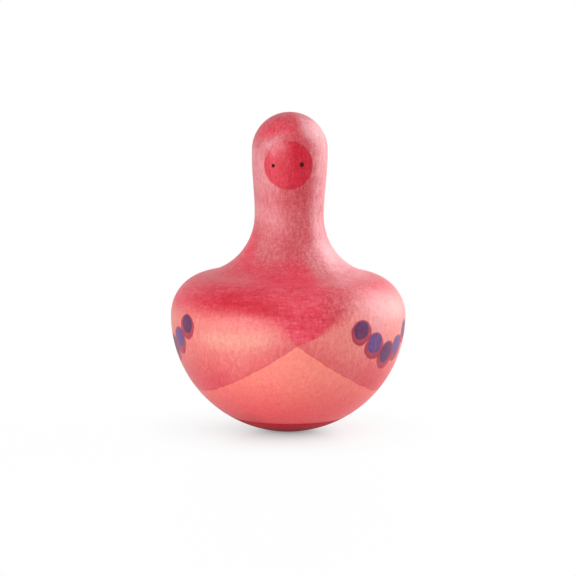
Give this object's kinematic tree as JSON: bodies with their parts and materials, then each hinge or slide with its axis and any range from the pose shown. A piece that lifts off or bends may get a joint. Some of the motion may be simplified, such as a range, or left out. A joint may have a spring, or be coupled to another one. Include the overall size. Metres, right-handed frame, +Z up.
{
  "type": "wooden spinning bird",
  "caption": "Turned wooden bird with a round, weighted underside: it spins and rocks on the ball, rights itself, and rests on a small flat.",
  "frame": {"origin": "middle of the small flat on the underside that the bird rests on", "axes": "+Z up along the turned axis from the rest flat to the top of the head; the face looks along -Y, turned 3.4 degrees towards -X"},
  "size_m": [0.075, 0.075, 0.1021],
  "materials": {
    "stained_beech": "satin, water-stained",
    "dark_red_beech": "satin, water-stained",
    "plain_steel": "turned, bare",
    "zinc_plated_steel": "zinc plated",
    "black_hardwood": "dyed black, satin"
  },
  "bodies": {
    "root": {"turned_body": "stained_beech", "bottom_plug": "dark_red_beech", "ballast_disc": "plain_steel", "ballast_screw": "zinc_plated_steel", "eye_pin_left": "black_hardwood", "eye_pin_right": "black_hardwood"}
  },
  "joints": []
}
